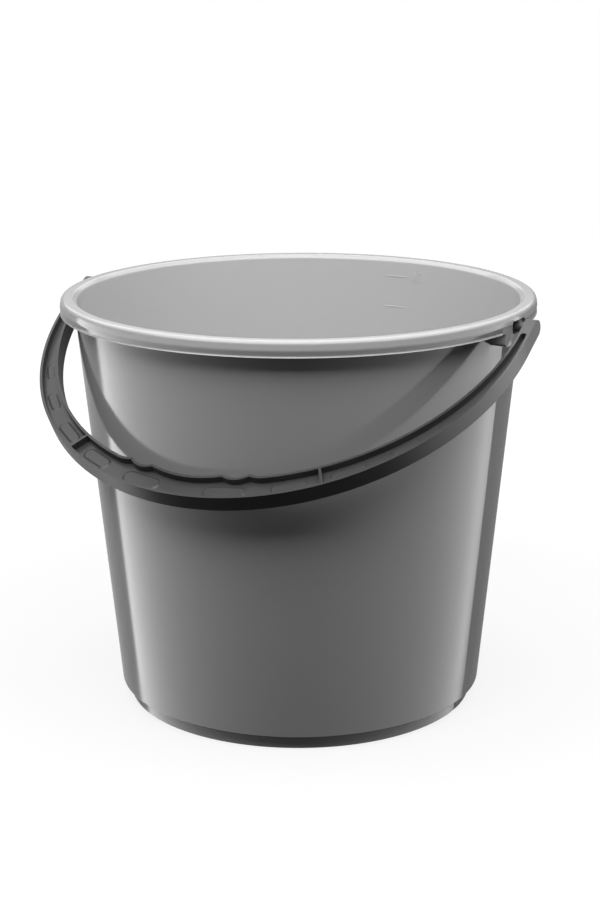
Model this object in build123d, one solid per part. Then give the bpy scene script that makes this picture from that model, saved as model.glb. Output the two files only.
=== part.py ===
from build123d import *

import os
from math import acos, cos, degrees, radians, sin, sqrt, tan

# A ten-litre household bucket with a swinging bail handle, in millimetres.
# Z is up and the origin is the middle of the foot ring, on the ground.
# The handle turns about an axis along X and hangs towards -Y.

# Bucket wall, floor and foot
bucket_height = 244.6
wall_top_radius = 132.1  # outside of the wall, carried up to the top of the rim
wall_taper = 5.5  # degrees that the wall leans outwards
wall_thickness = 1.9
wall_corner_bevel = 0.9  # outside, where the wall turns in to the foot
foot_inset = 4.6  # how far the foot ring stands inside the wall
foot_height = 8.1
foot_draft = 3.5  # degrees
foot_width = 2.4  # of the ring that touches the ground
floor_lift = 2.5  # underside of the floor above the ground
floor_thickness = 2.2

# Turned-over rim
rim_overhang = 7.9  # from the wall to the widest part of the rim
rim_thickness = 2.4
rim_depth = 8.9  # from the top of the rim to the lower edge of its skirt
rim_outer_round = 2.6
rim_inner_bevel = 2.0
rim_lean = 0.9  # how far the outer face draws in from its widest place to the top
rim_belly = 5.2  # from the top of the rim down to its widest place
skirt_thickness = 1.2  # at its waist
skirt_waist = 0.7  # how far the skirt draws in above its lip
skirt_lip = 0.5  # how far the lip under the waist flares out again
skirt_lip_height = 1.1

# Ears that carry the handle's pins
pivot_drop = 8.0  # pin axis below the top of the rim
ear_depth = 16.6  # lower edge of the ear below the top of the rim
ear_width = 33.6
ear_corner_round = 2.5
ear_neck_round = 1.5  # where the skirt's lower edge turns down into the ear
cheek_thickness = 1.6  # of the webs that join the ear's sides to the wall
pad_inset = 1.8  # flat pad round the hole, in from the face of the ear
pad_thickness = 2.2
pad_width = 20.0
pad_round = 3.2
pad_margin = 0.7  # pad above the hole
pad_wall = 1.6  # of the box behind the pad

# Handle
droop = 30.3  # degrees below level where the handle rests on the wall
rest_gap = 0.35  # room left between the knuckles and the wall at rest
handle_side_gap = 4.1  # from the rim to the handle's ends
handle_height = 9.8
end_width = 6.5
end_length = 9.9  # solid end, from the pin axis to the channel
channel_end_round = 1.5
inner_leg = 7.9  # straight part of the inner edge beside the pin
outer_leg = 18.3  # straight part of the outer edge beside the pin
grip_width = 15.4
flange_thickness = 1.6
web_thickness = 2.0
rib_thickness = 1.6
rib_angle = 29.8  # degrees from the middle of the grip
knuckle_height = 2.4
knuckle_round = 1.2
inner_knuckle = 22.3  # distance of the knuckles from the middle of the grip
outer_knuckle = 37.6
knuckle_run_out = 46.0

# Pins
pin_radius = 2.9
pin_clearance = 0.8  # under the pin
hole_clearance = 0.7  # above the pin
hole_side_clearance = 1.9
hole_round = 2.6
head_radius = 4.3
head_length = 1.6
head_clearance = 0.4  # between the head and the back of the pad

# Derived places
lean = tan(radians(wall_taper))
wall_run = wall_thickness / cos(radians(wall_taper))
rim_radius = wall_top_radius + rim_overhang
pivot_height = bucket_height - pivot_drop
waist_radius = rim_radius - skirt_waist
skirt_inside = waist_radius - skirt_thickness
lip_radius = waist_radius + skirt_lip
pad_face = lip_radius - pad_inset
pad_back = pad_face - pad_thickness
ear_bottom = bucket_height - ear_depth
half_height = handle_height / 2
inner_half = rim_radius + handle_side_gap
outer_half = inner_half + end_width
cut_room = 1.0  # how far cutting shapes run past what they cut


def wall_radius(height):
    """Outside radius of the tapered wall at a height."""
    return wall_top_radius - (bucket_height - height) * lean


def turned(points):
    """Solid of revolution about Z from a closed outline of (radius, height) points."""
    return revolve(Plane.XZ * make_face(Polyline(*points, close=True)), Axis.Z)


def foot_radius(height):
    """Outside radius of the foot ring at a height."""
    return wall_radius(foot_height) - foot_inset - (foot_height - height) * tan(radians(foot_draft))


def bucket_shell():
    """Wall, floor, foot ring and turned-over rim as one turned shell."""
    floor_top = floor_lift + floor_thickness
    shoulder_top = foot_height + wall_thickness
    rim_bevel_bottom = bucket_height - rim_inner_bevel
    under_rim = bucket_height - rim_thickness
    belly_height = bucket_height - rim_belly
    crown_radius = rim_radius - rim_lean
    skirt_bottom = bucket_height - rim_depth
    waist_height = skirt_bottom + skirt_lip_height
    corner_bevel_top = foot_height + wall_corner_bevel
    outline = make_face(
        Polyline(
            (0, floor_top),
            (foot_radius(floor_top) - foot_width, floor_top),
            (foot_radius(shoulder_top) - foot_width, shoulder_top),
            (wall_radius(shoulder_top) - wall_run, shoulder_top),
            (wall_radius(rim_bevel_bottom) - wall_run, rim_bevel_bottom),
            (wall_top_radius - wall_run + rim_inner_bevel, bucket_height),
            (crown_radius, bucket_height),
            (rim_radius, belly_height),
            (waist_radius, waist_height),
            (lip_radius, skirt_bottom),
            (skirt_inside, skirt_bottom),
            (skirt_inside, under_rim),
            (wall_radius(under_rim), under_rim),
            (wall_radius(corner_bevel_top), corner_bevel_top),
            (wall_radius(foot_height) - wall_corner_bevel, foot_height),
            (foot_radius(foot_height), foot_height),
            (foot_radius(0), 0),
            (foot_radius(0) - foot_width, 0),
            (foot_radius(floor_lift) - foot_width, floor_lift),
            (0, floor_lift),
            close=True,
        )
    )
    crown = outline.vertices().sort_by_distance((crown_radius, bucket_height))[0]
    return revolve(Plane.XZ * fillet(crown, rim_outer_round), Axis.Z)


def shield(top):
    """Flat outline of an ear, centred on the pin axis, that widens where it meets the skirt."""
    half = ear_width / 2
    shoulder = half + 2 * ear_neck_round
    right = [
        (half, ear_bottom),
        (half, bucket_height - rim_depth),
        (shoulder, bucket_height - rim_depth),
        (shoulder, top),
    ]
    left = [(-across, height) for across, height in reversed(right)]
    rounds = (ear_corner_round, ear_neck_round, 0, 0)
    return Plane.YZ * make_face(
        FilletPolyline(*right, *left, radius=rounds + rounds[::-1], close=True)
    )


def ear():
    """Plate that carries the skirt down, its cheeks and the box behind its pad, at the pin axis's +X end."""
    belly_height = bucket_height - rim_belly
    box_top = bucket_height - rim_thickness / 2
    box_half = pad_width / 2 + pad_wall
    plate = turned(
        (
            (skirt_inside, ear_bottom),
            (lip_radius, ear_bottom),
            (lip_radius, belly_height),
            (skirt_inside, belly_height),
        )
    )
    plate &= extrude(shield(belly_height), rim_radius)
    wall_to_rim = turned(
        (
            (wall_radius(ear_bottom) - wall_run / 2, ear_bottom),
            (lip_radius, ear_bottom),
            (lip_radius, belly_height),
            (lip_radius - rim_lean - rim_outer_round, box_top),
            (wall_radius(box_top) - wall_run / 2, box_top),
        )
    )
    cheeks = [
        Pos(0, side * ear_width / 2, ear_bottom)
        * Box(
            rim_radius,
            cheek_thickness,
            box_top - ear_bottom,
            align=(Align.MIN, Align.MAX if side > 0 else Align.MIN, Align.MIN),
        )
        for side in (1, -1)
    ]
    cheeks = (cheeks[0] + cheeks[1]) & extrude(shield(box_top), rim_radius)
    box = Pos(pad_back, 0, ear_bottom) * Box(
        rim_radius - pad_back,
        2 * box_half,
        box_top - ear_bottom,
        align=(Align.MIN, Align.CENTER, Align.MIN),
    )
    return plate + ((box + cheeks) & wall_to_rim)


def arched(half, bottom, top, corner_round, distance):
    """Flat outline across an ear at a distance along X, with its upper corners rounded."""
    return Plane.YZ.offset(distance) * make_face(
        FilletPolyline(
            (-half, bottom),
            (-half, top),
            (half, top),
            (half, bottom),
            radius=(0, corner_round, corner_round, 0),
            close=True,
        )
    )


def ear_cuts():
    """Flat pad let into the +X ear's face and the arched hole through it for the pin."""
    hole_bottom = pivot_height - pin_radius - pin_clearance
    hole_top = pivot_height + pin_radius + hole_clearance
    hole_half = pin_radius + hole_side_clearance
    pad = arched(pad_width / 2, ear_bottom - cut_room, hole_top + pad_margin, pad_round, pad_face)
    hole = arched(hole_half, hole_bottom, hole_top, hole_round, pad_back - cut_room)
    return extrude(pad, rim_overhang) + extrude(hole, pad_thickness + 2 * cut_room)


def make_bucket():
    """Bucket moulding: the turned shell with its two ears."""
    solid = bucket_shell()
    for turn in (0, 180):
        solid += ear().rotate(Axis.Z, turn)
    for turn in (0, 180):
        solid -= ear_cuts().rotate(Axis.Z, turn)
    return solid


def grip_depth():
    """Depth of the inner edge's oval that sets the knuckles on the wall at the droop angle.

    A knuckle's lower edge lies at inner_knuckle from the middle plane. Putting its distance
    from the bucket's axis equal to the wall's radius plus the rest gap gives a quadratic in
    the knuckle's distance from the pin axis.
    """
    fall = sin(radians(droop))
    reach = cos(radians(droop))
    out = half_height * fall + rest_gap
    wall = wall_radius(pivot_height - half_height * reach)
    square = reach**2 - (lean * fall) ** 2
    linear = out * reach - wall * lean * fall
    constant = out**2 + inner_knuckle**2 - wall**2
    knuckle = (linear + sqrt(linear**2 - square * constant)) / square
    return (knuckle + knuckle_height - inner_leg) / oval_rise(inner_knuckle, inner_half)


def oval_rise(across, half):
    """Height of a unit half oval at a distance from its middle."""
    return sqrt(1 - (across / half) ** 2)


def bow(half, leg, depth, top):
    """Region inside a plain bow: straight legs and a half oval, open side at Y = top."""
    return make_face(
        [
            Line((half, top), (half, -leg)),
            EllipticalCenterArc((0, -leg), half, depth, 0, arc_size=-180),
            Line((-half, -leg), (-half, top)),
            Line((-half, top), (half, top)),
        ]
    )


def scalloped_bow(half, leg, depth, top):
    """Region inside a bow whose grip has finger hollows between four rounded knuckles."""

    def edge(across):
        return Vector(across, -leg - depth * oval_rise(across, half))

    def knuckle(across):
        return edge(across) + Vector(0, knuckle_height)

    run_out = degrees(acos(knuckle_run_out / half))
    middle = (inner_knuckle + outer_knuckle) / 2
    edges = [
        Line((-half, top), (half, top)),
        ThreePointArc(knuckle(inner_knuckle), edge(0), knuckle(-inner_knuckle)),
    ]
    for side in (1, -1):
        start = 0 if side > 0 else 180
        side_arc = EllipticalCenterArc((0, -leg), half, depth, start, arc_size=-side * run_out)
        edges += [
            Line((side * half, top), (side * half, -leg)),
            side_arc,
            TangentArc(edge(side * knuckle_run_out), knuckle(side * outer_knuckle), tangent=side_arc % 1),
            ThreePointArc(
                knuckle(side * outer_knuckle), edge(side * middle), knuckle(side * inner_knuckle)
            ),
        ]
    face = make_face(edges)
    tips = [knuckle(side * across) for side in (1, -1) for across in (inner_knuckle, outer_knuckle)]
    corners = [face.vertices().sort_by_distance(tip)[0] for tip in tips]
    return fillet(corners, knuckle_round)


def at_angle(angle, half, leg, depth):
    """Point of a bow seen from the pin axis at an angle from the middle of the grip."""
    across = sin(radians(angle))
    along = cos(radians(angle))
    square = (across / half) ** 2 + (along / depth) ** 2
    linear = leg * along / depth**2
    constant = (leg / depth) ** 2 - 1
    distance = (linear + sqrt(linear**2 - square * constant)) / square
    return Vector(across * distance, -along * distance)


def make_handle():
    """Bail handle moulding: an H-section bow with its two pins, at rest on the wall."""
    inner_depth = grip_depth()
    outer_depth = inner_leg + inner_depth + grip_width - outer_leg
    thin = flange_thickness
    outside = (outer_half, outer_leg, outer_depth)
    outside_channel = (outer_half - thin, outer_leg, outer_depth - thin)
    inside = (inner_half, inner_leg, inner_depth)
    inside_channel = (inner_half + thin, inner_leg, inner_depth + thin)

    plan = bow(*outside, half_height) - scalloped_bow(*inside, half_height)
    solid = extrude(plan, half_height, both=True)

    # The ends are round about the pin axis.
    reach = outer_leg + outer_depth
    side_view = Plane.YZ * (
        Circle(half_height) + Pos(-reach / 2, 0) * Rectangle(reach, handle_height)
    )
    solid &= extrude(side_view, outer_half + cut_room, both=True)

    # Channels above and below the web, divided by two cross ribs.
    span = Pos(0, -end_length) * Rectangle(2 * outer_half, reach, align=(Align.CENTER, Align.MAX))
    channel = (bow(*outside_channel, 0) - scalloped_bow(*inside_channel, 0)) & span
    ends = channel.vertices().group_by(Axis.Y)[-1]
    channel = fillet(ends, channel_end_round)
    for side in (1, -1):
        foot = at_angle(side * rib_angle, *inside)
        rib = Rectangle(rib_thickness, reach)
        channel -= Pos(foot.X, foot.Y) * Rot(0, 0, side * rib_angle) * rib
    pocket_depth = (handle_height - web_thickness) / 2
    pocket = extrude(channel, pocket_depth + cut_room)
    solid -= Pos(0, 0, web_thickness / 2) * pocket
    solid -= Pos(0, 0, -web_thickness / 2 - pocket_depth - cut_room) * pocket

    # Pins with a head that keeps them in the ears.
    head_face = pad_back - head_clearance
    for side in (1, -1):
        solid += pin(inner_half + thin, head_face, pin_radius, side)
        solid += pin(head_face, head_face - head_length, head_radius, side)

    return Pos(0, 0, pivot_height) * Rot(droop, 0, 0) * solid


def pin(start, end, radius, side):
    """Round bar along X between two distances from the middle, on one side."""
    disc = Plane.YZ.offset(side * start) * Circle(radius)
    return extrude(disc, side * (end - start))


bucket = make_bucket()
handle = make_handle()

os.makedirs("parts", exist_ok=True)
export_step(bucket, "parts/bucket_body.step")
export_step(handle, "parts/bail_handle.step")
print("grip depth", round(inner_leg + grip_depth(), 2), "swing", 180 + 2 * droop)
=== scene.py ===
from math import atan2, cos, degrees, pi, radians, sin, sqrt, tan

import bmesh
import bpy
from mathutils import Matrix, Vector
from mathutils.bvhtree import BVHTree
from mathutils.interpolate import poly_3d_calc


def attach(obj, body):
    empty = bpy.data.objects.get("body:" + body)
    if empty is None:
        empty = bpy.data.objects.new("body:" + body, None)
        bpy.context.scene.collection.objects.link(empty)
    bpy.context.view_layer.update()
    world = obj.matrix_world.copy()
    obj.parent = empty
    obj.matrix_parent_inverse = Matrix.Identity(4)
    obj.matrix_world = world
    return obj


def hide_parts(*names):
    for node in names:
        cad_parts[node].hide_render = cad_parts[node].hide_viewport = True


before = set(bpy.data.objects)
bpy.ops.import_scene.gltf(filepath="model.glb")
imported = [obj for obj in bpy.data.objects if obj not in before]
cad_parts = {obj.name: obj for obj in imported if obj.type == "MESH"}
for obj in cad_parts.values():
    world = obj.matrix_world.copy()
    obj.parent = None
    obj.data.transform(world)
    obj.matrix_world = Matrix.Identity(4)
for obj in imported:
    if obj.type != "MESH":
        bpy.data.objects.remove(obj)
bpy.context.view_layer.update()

MM = 0.001

# Camera, in metres and pixels of the 600 x 900 picture
CAMERA_TURN = 28.5  # degrees about Z from looking along +Y
CAMERA_AWAY = 1.1265  # from the bucket's axis
CAMERA_HEIGHT = 0.4574
CAMERA_PITCH = 0.2682  # radians down from level
CAMERA_ROLL = -0.0047  # radians
CAMERA_NEAR = 0.01  # what is closer is cut off
FOCAL_PIXELS = 1939.3
MIDDLE_X = 299.16  # column of the picture that the camera looks straight at
PICTURE = (600, 900)
SENSOR = 36.0  # millimetres, for the height of the picture

# Radiance that the gloss mirrors, by direction from the camera's side
PANEL_EDGE = 126.0  # degrees round from the camera where both panels end
PANEL_FADE = 0.025  # share of that angle in which they end
PANEL_SEAM = 0.02  # half width of the seam between them
LEFT_PANEL = (-1, 4.3, 2.0, 0.45)  # side, radiance at the edge, power of its rise, radiance past the edge
RIGHT_PANEL = (1, 2.8, 1.5, 0.2)
PANEL_BAND = (-52, -37, -4, 12)  # degrees of elevation: dark below, full between, dark above
BACKDROP_BAND = (10, 16, 34, 50)
BACKDROP_HALF = 24.0  # degrees to each side of straight behind
BACKDROP_FADE = 0.1  # radians in which each side ends
BACKDROP = 1.0
FILL = 0.065
MIRRORED_FLOOR = 0.01

# Lamps, in metres, placed as seen from the camera
OVERHEAD_HEIGHT = 0.645
OVERHEAD_HOLE = 0.18  # open square in the middle of the overhead softboxes
OVERHEAD_STRIP = 0.5  # width of each
OVERHEAD_RADIANCE = (3.6, 2.7, 0.9, 1.5)  # front left, front right, back right, back left
BAR_MIDDLE = (0.01, 0.1)  # bright bar among them
BAR_SIZE = (0.26, 0.13)
BAR_RADIANCE = 8.5
INSIDE_POWER = 9.2  # watts, of the lamp that lights the inside
INSIDE_PLACE = (0, -0.75, 0.9)
INSIDE_TARGET = (0, 0.125, 0.25)
INSIDE_RADIUS = 0.06
INSIDE_CONE = 24.0  # degrees

# Floor, in metres
FLOOR_RADIUS = 6.0
FLOOR_SIDES = 96
FLOOR_NEAR = 0.25  # within this radius the floor shows shadows
FLOOR_FAR = 0.6  # past this radius it is plain white
FLOOR_GREY = 0.16
FLOOR_GLOW = 0.84  # near the bucket, where the lamps add the rest of the white

# Plastics: linear greys, roughness, and features per metre
PLASTIC_IOR = 1.5
PATCH_DETAIL = 3.0  # of the noise in clouds and streaks
BUCKET_GREYS = (0.41, 0.43)
BUCKET_ROUGHNESS = 0.11
BUCKET_CLOUDS = 14.0
CLOUD_SHARE = 0.7  # of the change of grey, and the streaks make the rest
STREAKS = 9.0
STREAK_SHARE = 0.3
STREAK_RISE = 0.6  # height against turn, so that the streaks run up the wall
STREAK_ROUGHNESS = 0.015
SCUFF_HEIGHT = 0.045  # metres, where the scuffing ends
SCUFF_ROUGHNESS = 0.10
SCUFFS = 160.0
SCUFF_DETAIL = 4.0
BUCKET_GRAIN = (1400.0, 1.0, 0.02, 0.00005)  # features per metre, detail, strength, depth in metres
HANDLE_GREYS = (0.052, 0.064)
HANDLE_ROUGHNESS = (0.29, 0.04)  # least, and what the clouds add
HANDLE_CLOUDS = 60.0
HANDLE_SPECULAR = 0.45
HANDLE_GRAIN = (1800.0, 2.0, 0.1, 0.00004)

# Bucket, in millimetres, as in the solid
BUCKET_HEIGHT = 244.6
WALL_TOP_RADIUS = 132.1
WALL_TAPER = 5.5  # degrees
WALL_THICKNESS = 1.9
FOOT_HEIGHT = 8.1
RIM_RADIUS = 140.0
RIM_BELLY = 5.2  # from the top of the rim down to its widest place
RIM_ROUND = 2.6  # on the outer edge of the rim
RIM_ROUND_MIDDLE = 136.91  # radius of the circle that this round runs about
SKIRT_BOTTOM = 235.7
WAIST_RADIUS = 139.3
LIP_HEIGHT = 1.1  # from the skirt's lower edge up to its waist
LIP_FLARE = 0.5  # how far the lip stands out from the waist

# Finer forms of the bucket, in millimetres
LIP_CURL = 0.62  # how far the lip stands out here, in a curve that ends more level
LIP_POWER = 3.0
LIP_CUTS = 4
RIM_ROUND_CUTS = 3
CROWN_ROUND = (0.7, 3)  # width and segments, on the inner edge of the rim
BELLY_ROUND = (1.5, 4)
EDGE_ROUND = (0.3, 2)  # on the edges of the skirt and the ears

# Handle, in millimetres, as in the solid
PIVOT_HEIGHT = 236.6
DROOP = 30.3  # degrees below level at rest
HANDLE_HEIGHT = 9.8
WEB_THICKNESS = 2.0
INNER_CHANNEL = (145.7, 7.9, 142.23)  # half width, straight leg, depth of the oval
OUTER_CHANNEL = (149.0, 18.3, 144.03)
FLANGE_ROUND = (0.45, 2)  # finer here: width and segments

# Raised ovals along the channel: degrees from the middle of the grip, length
OVALS = ((9.7, 25.5), (23.2, 21.5), (35.3, 21.0), (47.4, 17.0), (58.0, 13.4))
OVAL_MARGIN = 1.6
OVAL_HEIGHT = 0.45
OVAL_EDGE = 1.2  # width of the slope round each
OVAL_STEPS = 12  # round each end
RELIEF_ROOT = 0.2  # how deep an oval or a mark reaches into what carries it

# Litre marks inside the wall
MARK_HEIGHTS = (233.1, 213.6)
MARK_ANGLES = (85.2, 93.0)
MARK_WIDTH = 1.1
MARK_RISE = 0.22
MARK_END = 0.3  # share of the rise at both ends
MARK_RAMP = 4.0  # what that share would gain over a mark's whole length
MARK_STEPS = 16
NUMBER = "10"
NUMBER_ANGLE = 84.4
NUMBER_SIZE = 9.6
NUMBER_RISE = 0.25
NUMBER_BEVEL = 0.12

# How the solids' meshes are read: bends in degrees, lengths in millimetres
MERGE_REACH = 0.002  # points closer than this become one
FLAT_BEND = 0.3  # faces that bend less become one
SMOOTH_BEND = 34.0  # edges that bend more look sharp
CORNER_BEND = 25.0  # edges of the bucket that bend more may be rounded
BELLY_BEND = (12.0, 40.0)
FLANGE_BEND = 30.0
FLANGE_SLACK = 0.01  # how far a flange's edge may lie below its level
LEVEL_SLACK = 0.05  # how far a point of the rim may lie off its place
BELLY_SLACK = 0.2  # how far the belly may lie inside the rim's radius
CROWN_DEPTH = 4.0  # from the top of the rim down past its inner edge
CROWN_REACH = 2.0  # from the wall outwards past that edge
OUTER_TOP = 3.0  # from the top of the rim down to the first small rounds
OUTER_BOTTOM = 2.0  # from the foot up to the last small rounds
OUTER_DEPTH = 1.2  # from the wall's outside inwards, where they end
RIM_ROUND_SLACK = 0.5  # how far a facet of the rim's round may lie off it
RIM_ROUND_START = 0.1  # how far inside its circle the round may start
LIP_SLACK = 0.08  # how far a point of the lip may lie off it
LIP_SHARE_SLACK = 0.02  # and past its ends, as a share of its height
LIP_DROP = 0.5  # share of that height which an edge down the lip takes
NORMAL_REACH = 0.03  # how far a corner may lie from a face of the solid to take its normal
SAME_FACE = 3.0  # degrees between two faces that count as one
SAME_EDGE = 60.0  # degrees from a face beside a rounded edge that it may take its normal from
ROUND_PROFILE = 0.5  # a bevel's profile that is part of a circle


def wall_radius(height):
    """Outside radius of the wall at a height, in millimetres."""
    return WALL_TOP_RADIUS - (BUCKET_HEIGHT - height) * tan(radians(WALL_TAPER))


def inside_radius(height):
    """Inside radius of the wall at a height, in millimetres."""
    return wall_radius(height) - WALL_THICKNESS / cos(radians(WALL_TAPER))


def add_object(name, data):
    """New object in the scene."""
    made = bpy.data.objects.new(name, data)
    bpy.context.scene.collection.objects.link(made)
    return made


def mesh_object(name, bm, material):
    """New mesh object from a bmesh, with one material."""
    mesh = bpy.data.meshes.new(name)
    bm.to_mesh(mesh)
    bm.free()
    mesh.materials.append(material)
    return add_object(name, mesh)


def new_piece(name, bm, material, body):
    """Mesh object that rides on a body."""
    piece = mesh_object(name, bm, material)
    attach(piece, body)
    return piece


def node(tree, kind, **sockets):
    """Shader node with its inputs given by name: a value, or a socket to link."""
    made = tree.nodes.new(kind)
    for name, value in sockets.items():
        connect(tree, made, name.replace("_", " "), value)
    return made


def connect(tree, made, name, value):
    """Sets one input of a node, by name or number, to a value or to a linked socket."""
    if isinstance(value, bpy.types.NodeSocket):
        tree.links.new(value, made.inputs[name])
    else:
        made.inputs[name].default_value = value


def math_node(tree, operation, *values):
    """Output of a Math node."""
    made = tree.nodes.new("ShaderNodeMath")
    made.operation = operation
    for number, value in enumerate(values):
        connect(tree, made, number, value)
    return made.outputs[0]


def remap(tree, value, low, high, new_low, new_high, kind="SMOOTHSTEP"):
    """Output of a clamped Map Range node."""
    made = tree.nodes.new("ShaderNodeMapRange")
    made.interpolation_type = kind
    for number, setting in enumerate((value, low, high, new_low, new_high)):
        connect(tree, made, number, setting)
    return made.outputs[0]


def noise(tree, vector, scale, detail):
    """Factor of a Noise Texture."""
    return node(tree, "ShaderNodeTexNoise", Vector=vector, Scale=scale, Detail=detail).outputs[0]


def mix_greys(tree, factor, levels):
    """Colour between two linear greys."""
    made = tree.nodes.new("ShaderNodeMix")
    made.data_type = "RGBA"
    connect(tree, made, "Factor", factor)
    first, second = [socket for socket in made.inputs if socket.type == "RGBA"]
    first.default_value = grey(levels[0])
    second.default_value = grey(levels[1])
    return next(socket for socket in made.outputs if socket.type == "RGBA")


def grey(level):
    """Linear grey as RGBA."""
    return (level, level, level, 1)


def grain(tree, shader, place, scale, detail, strength, depth):
    """Gives a shader the fine bump of a moulded surface."""
    height = noise(tree, place, scale, detail)
    bump = node(tree, "ShaderNodeBump", Strength=strength, Distance=depth, Height=height)
    connect(tree, shader, "Normal", bump.outputs[0])


def plastic(name):
    """New material with its tree, its Principled shader and object coordinates."""
    material = bpy.data.materials.new(name)
    material.use_nodes = True
    tree = material.node_tree
    shader = tree.nodes["Principled BSDF"]
    shader.inputs["IOR"].default_value = PLASTIC_IOR
    place = tree.nodes.new("ShaderNodeTexCoord").outputs["Object"]
    return material, tree, shader, place


def bucket_plastic():
    """Glossy grey polypropylene with faint flow lines up the wall and a little scuffing low down."""
    material, tree, shader, place = plastic("bucket_gloss")
    parts = node(tree, "ShaderNodeSeparateXYZ", Vector=place).outputs
    turn = math_node(tree, "ARCTAN2", parts["Y"], parts["X"])
    rise = math_node(tree, "MULTIPLY", parts["Z"], STREAK_RISE)
    flow = node(tree, "ShaderNodeCombineXYZ", X=turn, Y=rise).outputs[0]
    streaks = noise(tree, flow, STREAKS, PATCH_DETAIL)
    clouds = noise(tree, place, BUCKET_CLOUDS, PATCH_DETAIL)
    tone = math_node(tree, "MULTIPLY", streaks, STREAK_SHARE)
    tone = math_node(tree, "MULTIPLY_ADD", clouds, CLOUD_SHARE, tone)
    connect(tree, shader, "Base Color", mix_greys(tree, tone, BUCKET_GREYS))
    scuff = remap(tree, parts["Z"], SCUFF_HEIGHT, 0.0, 0.0, SCUFF_ROUGHNESS)
    worn = math_node(tree, "MULTIPLY", scuff, noise(tree, place, SCUFFS, SCUFF_DETAIL))
    worn = math_node(tree, "ADD", worn, BUCKET_ROUGHNESS)
    roughness = math_node(tree, "MULTIPLY_ADD", streaks, STREAK_ROUGHNESS, worn)
    connect(tree, shader, "Roughness", roughness)
    grain(tree, shader, place, *BUCKET_GRAIN)
    return material


def handle_plastic():
    """Satin black polypropylene with a fine spark-eroded grain."""
    material, tree, shader, place = plastic("handle_satin")
    clouds = noise(tree, place, HANDLE_CLOUDS, PATCH_DETAIL)
    least, more = HANDLE_ROUGHNESS
    connect(tree, shader, "Base Color", mix_greys(tree, clouds, HANDLE_GREYS))
    connect(tree, shader, "Roughness", math_node(tree, "MULTIPLY_ADD", clouds, more, least))
    shader.inputs["Specular IOR Level"].default_value = HANDLE_SPECULAR
    grain(tree, shader, place, *HANDLE_GRAIN)
    return material


def closed_skin(bm, rings):
    """Faces from each ring of points to the next, and a lid on the first ring and on the last."""
    for first, second in zip(rings, rings[1:]):
        for number in range(len(first)):
            after = (number + 1) % len(first)
            bm.faces.new((first[number], first[after], second[after], second[number]))
    bm.faces.new(reversed(rings[0]))
    bm.faces.new(rings[-1])
    bmesh.ops.recalc_face_normals(bm, faces=bm.faces)


def mark_bar(name, height, material):
    """Raised litre mark: a thin bar round the inside of the wall with sloping ends and edges."""
    lean = tan(radians(WALL_TAPER))
    face = inside_radius(height)
    half = MARK_WIDTH / 2
    top = half / 2
    start, end = MARK_ANGLES
    bm = bmesh.new()
    rings = []
    for step in range(MARK_STEPS + 1):
        share = step / MARK_STEPS
        angle = radians(start + (end - start) * share)
        rise = MARK_RISE * min(1.0, MARK_RAMP * min(share, 1 - share) + MARK_END)
        ring = []
        for out, up in ((RELIEF_ROOT, half), (-rise, top), (-rise, -top), (RELIEF_ROOT, -half)):
            radius = face + out + up * lean
            ring.append(bm.verts.new(Vector((radius * cos(angle), radius * sin(angle), height + up)) * MM))
        rings.append(ring)
    closed_skin(bm, rings)
    new_piece(name, bm, material, "bucket")


def litre_number(material):
    """The number of litres beside the upper mark, in plain raised figures."""
    curve = bpy.data.curves.new("litre_figures", "FONT")
    curve.body = NUMBER
    curve.size = NUMBER_SIZE * MM
    curve.extrude = NUMBER_RISE * MM
    curve.bevel_depth = NUMBER_BEVEL * MM
    curve.bevel_resolution = 1
    curve.align_x = "LEFT"
    curve.align_y = "CENTER"
    figures = bpy.data.objects.new("litre_figures", curve)
    mesh = bpy.data.meshes.new_from_object(figures)
    bpy.data.objects.remove(figures)
    lean = radians(WALL_TAPER)
    height = MARK_HEIGHTS[0]
    angle = radians(NUMBER_ANGLE)
    radius = inside_radius(height) * MM
    along = Vector((sin(angle), -cos(angle), 0))
    inwards = Vector((-cos(angle) * cos(lean), -sin(angle) * cos(lean), sin(lean)))
    up = inwards.cross(along)
    place = Matrix((along, up, inwards)).transposed().to_4x4()
    place.translation = Vector((radius * cos(angle), radius * sin(angle), height * MM))
    bm = bmesh.new()
    bm.from_mesh(mesh)
    bm.transform(place)
    new_piece("litre_number", bm, material, "bucket")


def on_channel(angle, half, leg, depth):
    """Point of one side of the handle's channel.

    The angle is seen from the middle of the pin axis and counts from the middle of the grip.
    """
    across = sin(angle)
    along = cos(angle)
    square = (across / half) ** 2 + (along / depth) ** 2
    linear = leg * along / depth**2
    constant = (leg / depth) ** 2 - 1
    distance = (linear + sqrt(linear**2 - square * constant)) / square
    return Vector((across * distance, -along * distance, 0))


def handle_place():
    """From the handle's own frame, in millimetres about the pin axis, to the model's frame at rest."""
    pivot = Matrix.Translation(Vector((0, 0, PIVOT_HEIGHT)) * MM)
    return pivot @ Matrix.Rotation(radians(DROOP), 4, "X") @ Matrix.Scale(MM, 4)


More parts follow.
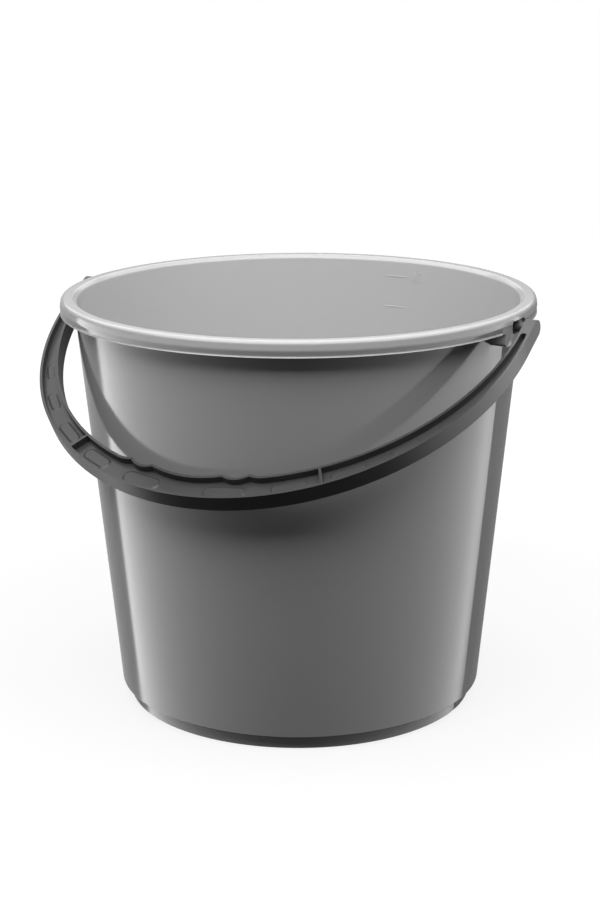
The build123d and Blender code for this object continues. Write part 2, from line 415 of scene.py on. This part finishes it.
def oval_pad(name, side, degrees_off, length, material):
    """Raised oval on the handle's web: a round-ended pad with a sloping edge."""
    angle = side * radians(degrees_off)
    near = on_channel(angle, *INNER_CHANNEL)
    away = on_channel(angle, *OUTER_CHANNEL)
    radius = (away - near).length / 2 - OVAL_MARGIN
    half = length / 2 - radius
    place = Matrix.Translation((near + away) / 2) @ Matrix.Rotation(angle, 4, "Z")
    web = WEB_THICKNESS / 2
    bm = bmesh.new()
    rings = []
    for height, inset in ((web - RELIEF_ROOT, 0.0), (web, 0.0), (web + OVAL_HEIGHT, OVAL_EDGE)):
        ring = []
        for end in (1, -1):
            for step in range(OVAL_STEPS + 1):
                turn = pi * step / OVAL_STEPS - pi / 2
                x = end * (half + (radius - inset) * cos(turn))
                y = end * (radius - inset) * sin(turn)
                ring.append(bm.verts.new(place @ Vector((x, y, height))))
        rings.append(ring)
    closed_skin(bm, rings)
    bm.transform(handle_place())
    new_piece(name, bm, material, "handle")


def rim_turn(point):
    """Angle up round the rim's rounded outer edge of a point on it, or None for a point off it."""
    out = point.xy.length / MM - RIM_ROUND_MIDDLE
    up = point.z / MM - (BUCKET_HEIGHT - RIM_ROUND)
    off = abs(Vector((out, up)).length - RIM_ROUND)
    if up < 0 or out < -RIM_ROUND_START or off > RIM_ROUND_SLACK:
        return None
    return min(atan2(up, out), pi / 2)


def on_rim_round(points):
    """Whether points all lie on the rim's rounded outer edge."""
    return all(rim_turn(point) is not None for point in points)


def rim_normal(point):
    """Normal of the rim's rounded outer edge at a point on it."""
    turn = rim_turn(point)
    out = Vector((point.x, point.y, 0)).normalized()
    return out * cos(turn) + Vector((0, 0, sin(turn)))


def fine_rim(bm):
    """Splits the rim's rounded outer edge finer and lays it on its true round."""
    chosen = [edge for edge in bm.edges if on_rim_round([end.co for end in edge.verts])]
    bmesh.ops.subdivide_edges(bm, edges=chosen, cuts=RIM_ROUND_CUTS, use_grid_fill=True)
    for vertex in bm.verts:
        if on_rim_round([vertex.co]):
            normal = rim_normal(vertex.co)
            out = Vector((vertex.co.x, vertex.co.y, 0)).normalized() * RIM_ROUND_MIDDLE
            middle = out + Vector((0, 0, BUCKET_HEIGHT - RIM_ROUND))
            vertex.co = (middle + normal * RIM_ROUND) * MM


def lip_share(point):
    """Share of the way down the skirt's lip of a point on it, or None for a point off it."""
    share = 1 - (point.z / MM - SKIRT_BOTTOM) / LIP_HEIGHT
    off = abs(point.xy.length / MM - WAIST_RADIUS - LIP_FLARE * share)
    if share < -LIP_SHARE_SLACK or share > 1 + LIP_SHARE_SLACK or off > LIP_SLACK:
        return None
    return min(max(share, 0), 1)


def curled_lip(bm):
    """Splits the skirt's lip into rows and curls it outwards."""
    chosen = []
    for edge in bm.edges:
        shares = [lip_share(end.co) for end in edge.verts]
        if None not in shares and abs(shares[0] - shares[1]) > LIP_DROP:
            chosen.append(edge)
    bmesh.ops.subdivide_edges(bm, edges=chosen, cuts=LIP_CUTS, use_grid_fill=True)
    for vertex in bm.verts:
        share = lip_share(vertex.co)
        if share is not None and share > 0:
            radius = WAIST_RADIUS + LIP_CURL * share**LIP_POWER
            vertex.co.xy = vertex.co.xy.normalized() * radius * MM


def softened(name, node_name, material, body, rounds, has_rim=False):
    """Copy of a node's mesh with chosen edges rounded, in place of the node.

    Each entry of rounds gives a width in millimetres with a number of segments, and a test
    of an edge's two ends and its bend in degrees. With has_rim, the rim's own round and the
    skirt's lip are made finer first.
    """
    bm = bmesh.new()
    bm.from_mesh(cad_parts[node_name].data)
    bmesh.ops.remove_doubles(bm, verts=bm.verts, dist=MERGE_REACH * MM)
    bmesh.ops.dissolve_limit(bm, angle_limit=radians(FLAT_BEND), verts=bm.verts, edges=bm.edges)
    if has_rim:
        fine_rim(bm)
        curled_lip(bm)
    for (width, segments), wanted in rounds:
        chosen = []
        for edge in bm.edges:
            ends = [end.co / MM for end in edge.verts]
            if wanted(ends, degrees(edge.calc_face_angle(0))):
                chosen.append(edge)
        bmesh.ops.bevel(
            bm,
            geom=chosen,
            offset=width * MM,
            segments=segments,
            profile=ROUND_PROFILE,
            affect="EDGES",
            clamp_overlap=True,
        )
    piece = new_piece(name, bm, material, body)
    piece.data.attributes.remove(piece.data.attributes["custom_normal"])
    for polygon in piece.data.polygons:
        polygon.use_smooth = True
    piece.data.set_sharp_from_angle(angle=radians(SMOOTH_BEND))
    true_normals(piece, node_name, has_rim)
    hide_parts(node_name)


def true_normals(piece, node_name, has_rim):
    """Gives every face that lies on the solid the solid's own normals, so that mirror images stay smooth.

    The rim's round gets its exact normals. A rounded edge starts and ends with the normals of
    the faces beside it, and inside it a zero vector leaves the normal to the mesh.
    """
    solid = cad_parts[node_name].data
    corners = [corner.vector.copy() for corner in solid.corner_normals]
    places = [vertex.co for vertex in solid.vertices]
    tree = BVHTree.FromPolygons(places, [face.vertices for face in solid.polygons])

    def solid_normal(point, facing):
        """Normal of the solid at a point of a face with a facing, or None where the two differ."""
        near = [solid.polygons[hit[2]] for hit in tree.find_nearest_range(point, NORMAL_REACH * MM)]
        face = max(near, key=lambda each: each.normal.dot(facing), default=None)
        if face is None or face.normal.dot(facing) <= cos(radians(SAME_FACE)):
            return None
        normal = Vector((0, 0, 0))
        shares = poly_3d_calc([places[number] for number in face.vertices], point)
        for share, number in zip(shares, face.loop_indices):
            normal += share * corners[number]
        return normal

    mesh = piece.data
    found = [Vector((0, 0, 0)) for loop in mesh.loops]
    at_vertex = {}
    left = []
    for polygon in mesh.polygons:
        points = [mesh.vertices[vertex].co for vertex in polygon.vertices]
        on_round = has_rim and on_rim_round(points)
        for loop, vertex, point in zip(polygon.loop_indices, polygon.vertices, points):
            normal = rim_normal(point) if on_round else solid_normal(point, polygon.normal)
            if normal is None:
                left.append((polygon, loop, vertex))
            else:
                found[loop] = normal
                at_vertex.setdefault(vertex, []).append(normal)
    for polygon, loop, vertex in left:
        beside = max(at_vertex.get(vertex, []), key=polygon.normal.dot, default=None)
        if beside is not None and beside.dot(polygon.normal) > cos(radians(SAME_EDGE)):
            found[loop] = beside
    mesh.normals_split_custom_set(found)


def on_flange_edge(ends, bend):
    """Whether an edge of the handle lies along the top or bottom of a flange."""
    to_handle = handle_place().inverted()
    level = HANDLE_HEIGHT / 2 - FLANGE_SLACK
    return bend > FLANGE_BEND and all(abs((to_handle @ (end * MM)).z) > level for end in ends)


def on_crown_edge(ends, bend):
    """Whether an edge of the bucket lies along the inner side of the rim's top."""
    low = BUCKET_HEIGHT - CROWN_DEPTH
    outside = WALL_TOP_RADIUS + CROWN_REACH
    return bend > CORNER_BEND and all(end.z > low and end.xy.length < outside for end in ends)


def on_belly_edge(ends, bend):
    """Whether an edge of the bucket runs along the widest place of the rim."""
    least, most = BELLY_BEND
    level = BUCKET_HEIGHT - RIM_BELLY
    inside = RIM_RADIUS - BELLY_SLACK
    along = all(abs(end.z - level) < LEVEL_SLACK and end.xy.length > inside for end in ends)
    return along and least < bend < most


def on_outer_edge(ends, bend):
    """Whether an edge of the bucket lies on the skirt or the ears, but not along the lip."""
    lip = WAIST_RADIUS + LIP_CURL - LEVEL_SLACK
    if all(abs(end.z - SKIRT_BOTTOM) < LEVEL_SLACK and end.xy.length > lip for end in ends):
        return False
    low = FOOT_HEIGHT + OUTER_BOTTOM
    high = BUCKET_HEIGHT - OUTER_TOP
    for end in ends:
        if end.z < low or end.z > high or end.xy.length < wall_radius(end.z) - OUTER_DEPTH:
            return False
    return bend > CORNER_BEND


def camera():
    """Camera at the photograph's place, turned about the bucket's axis."""
    data = bpy.data.cameras.new("camera")
    data.sensor_fit = "VERTICAL"
    data.sensor_height = SENSOR
    data.lens = FOCAL_PIXELS / PICTURE[1] * SENSOR
    data.shift_x = (PICTURE[0] / 2 - MIDDLE_X) / PICTURE[1]
    data.clip_start = CAMERA_NEAR
    made = add_object("camera", data)
    tilt = Matrix.Rotation(pi / 2 - CAMERA_PITCH, 4, "X")
    place = Matrix.Translation((0, -CAMERA_AWAY, CAMERA_HEIGHT)) @ tilt
    roll = Matrix.Rotation(CAMERA_ROLL, 4, "Z")
    made.matrix_world = Matrix.Rotation(radians(CAMERA_TURN), 4, "Z") @ place @ roll
    bpy.context.scene.camera = made


def within(tree, value, band):
    """One inside a band of elevations in degrees, falling softly to nought outside it."""
    start, full, fall, end = [radians(angle) for angle in band]
    lower = remap(tree, value, start, full, 0.0, 1.0)
    upper = remap(tree, value, fall, end, 1.0, 0.0)
    return math_node(tree, "MULTIPLY", lower, upper)


def mirrored_level(tree):
    """Radiance of what the gloss mirrors: panels left and right, a backdrop behind and a dark floor."""
    towards = tree.nodes.new("ShaderNodeTexCoord").outputs["Generated"]
    turned = node(tree, "ShaderNodeVectorRotate", Vector=towards, Angle=-radians(CAMERA_TURN))
    turned.rotation_type = "Z_AXIS"
    parts = node(tree, "ShaderNodeSeparateXYZ", Vector=turned.outputs[0]).outputs
    sideways = math_node(tree, "ABSOLUTE", parts["X"])
    to_camera = math_node(tree, "MULTIPLY", parts["Y"], -1.0)
    round_from_front = math_node(tree, "ARCTAN2", sideways, to_camera)
    climb = math_node(tree, "ARCSINE", parts["Z"])
    share = math_node(tree, "DIVIDE", round_from_front, radians(PANEL_EDGE))
    past_edge = remap(tree, share, 1.0, 1.0 + PANEL_FADE, 0.0, 1.0, "LINEAR")
    panels = 0.0
    for side, peak, power, past in (LEFT_PANEL, RIGHT_PANEL):
        across = math_node(tree, "MULTIPLY", parts["X"], side)
        here = remap(tree, across, -PANEL_SEAM, PANEL_SEAM, 0.0, 1.0)
        rise = math_node(tree, "MULTIPLY", math_node(tree, "POWER", share, power), peak)
        level = remap(tree, past_edge, 0.0, 1.0, rise, past, "LINEAR")
        panels = math_node(tree, "MULTIPLY_ADD", here, level, panels)
    panels = math_node(tree, "MULTIPLY", panels, within(tree, climb, PANEL_BAND))
    past_backdrop = radians(180 - BACKDROP_HALF)
    behind = remap(tree, round_from_front, past_backdrop - BACKDROP_FADE, past_backdrop, 0.0, 1.0)
    backdrop = math_node(tree, "MULTIPLY", behind, within(tree, climb, BACKDROP_BAND))
    backdrop = math_node(tree, "MULTIPLY", backdrop, BACKDROP)
    dark, full = [radians(angle) for angle in PANEL_BAND[:2]]
    below = remap(tree, climb, dark, full, MIRRORED_FLOOR, FILL)
    return math_node(tree, "MAXIMUM", math_node(tree, "ADD", panels, below), backdrop)


def studio():
    """World: white for the camera, panels and backdrop for the gloss, and a weak even fill."""
    world = bpy.data.worlds.new("studio")
    world.use_nodes = True
    bpy.context.scene.world = world
    tree = world.node_tree
    tree.nodes.clear()
    path = tree.nodes.new("ShaderNodeLightPath").outputs
    # A ray that a matt surface has scattered doesn't see the panels
    straight = math_node(tree, "LESS_THAN", path["Diffuse Depth"], 0.5)
    seen = math_node(tree, "MULTIPLY", path["Is Glossy Ray"], straight)
    level = remap(tree, seen, 0.0, 1.0, FILL, mirrored_level(tree), "LINEAR")
    white = math_node(tree, "MAXIMUM", path["Is Camera Ray"], path["Is Transmission Ray"])
    level = remap(tree, white, 0.0, 1.0, level, 1.0, "LINEAR")
    light = node(tree, "ShaderNodeBackground", Color=grey(1.0), Strength=level)
    out = tree.nodes.new("ShaderNodeOutputWorld")
    tree.links.new(light.outputs[0], out.inputs["Surface"])


def overhead_lamp(name, middle, size, radiance, turn):
    """Softbox over the bucket that shines straight down."""
    data = bpy.data.lights.new(name, "AREA")
    data.shape = "RECTANGLE"
    data.size, data.size_y = size
    data.energy = radiance * pi * size[0] * size[1]
    lamp = add_object(name, data)
    place = Matrix.Translation((*middle, OVERHEAD_HEIGHT))
    lamp.matrix_world = Matrix.Rotation(radians(CAMERA_TURN + turn), 4, "Z") @ place
    lamp.visible_camera = False


def overhead_lamps():
    """Four long softboxes that make a square ring over the bucket, and a brighter bar."""
    length = OVERHEAD_HOLE + OVERHEAD_STRIP
    middle = (-OVERHEAD_STRIP / 2, -length / 2)
    for quarter, radiance in enumerate(OVERHEAD_RADIANCE):
        overhead_lamp("overhead_lamp", middle, (length, OVERHEAD_STRIP), radiance, 90 * quarter)
    overhead_lamp("overhead_bar", BAR_MIDDLE, BAR_SIZE, BAR_RADIANCE, 0)


def inside_lamp():
    """Soft light from over the camera, aimed through the bucket's mouth."""
    data = bpy.data.lights.new("inside_lamp", "SPOT")
    data.energy = INSIDE_POWER
    data.shadow_soft_size = INSIDE_RADIUS
    data.spot_size = radians(INSIDE_CONE)
    data.spot_blend = 1.0
    lamp = add_object("inside_lamp", data)
    turn = Matrix.Rotation(radians(CAMERA_TURN), 3, "Z")
    place = turn @ Vector(INSIDE_PLACE)
    target = turn @ Vector(INSIDE_TARGET)
    lamp.location = place
    lamp.rotation_euler = (target - place).to_track_quat("-Z", "Y").to_euler()
    lamp.visible_glossy = False


def floor():
    """Pale floor that the camera sees as white, with the bucket's own shadow on it."""
    material = bpy.data.materials.new("floor_white")
    material.use_nodes = True
    tree = material.node_tree
    tree.nodes.remove(tree.nodes["Principled BSDF"])
    lit = node(tree, "ShaderNodeBsdfDiffuse", Color=grey(FLOOR_GREY))
    place = tree.nodes.new("ShaderNodeTexCoord").outputs["Object"]
    away = node(tree, "ShaderNodeVectorMath", Vector=place)
    away.operation = "LENGTH"
    level = remap(tree, away.outputs["Value"], FLOOR_NEAR, FLOOR_FAR, FLOOR_GLOW, 1.0)
    glow = node(tree, "ShaderNodeEmission", Color=grey(1.0), Strength=level)
    both = tree.nodes.new("ShaderNodeAddShader")
    tree.links.new(lit.outputs[0], both.inputs[0])
    tree.links.new(glow.outputs[0], both.inputs[1])
    tree.links.new(both.outputs[0], tree.nodes["Material Output"].inputs["Surface"])
    bm = bmesh.new()
    bmesh.ops.create_circle(bm, cap_ends=True, radius=FLOOR_RADIUS, segments=FLOOR_SIDES)
    made = mesh_object("floor", bm, material)
    made.visible_glossy = False
    made.visible_diffuse = False


bpy.context.scene.view_settings.view_transform = "Standard"
camera()
studio()
overhead_lamps()
inside_lamp()
floor()

gloss = bucket_plastic()
satin = handle_plastic()
bucket_edges = (
    (CROWN_ROUND, on_crown_edge),
    (BELLY_ROUND, on_belly_edge),
    (EDGE_ROUND, on_outer_edge),
)
softened("bucket_moulding", "bucket_body", gloss, "bucket", bucket_edges, has_rim=True)
handle_edges = ((FLANGE_ROUND, on_flange_edge),)
softened("handle_moulding", "bail_handle", satin, "handle", handle_edges)
for name, height in zip(("litre_mark_upper", "litre_mark_lower"), MARK_HEIGHTS):
    mark_bar(name, height, gloss)
litre_number(gloss)
for side, word in ((1, "right"), (-1, "left")):
    for number, (degrees_off, length) in enumerate(OVALS, 1):
        oval_pad(f"oval_{word}_{number}", side, degrees_off, length, satin)
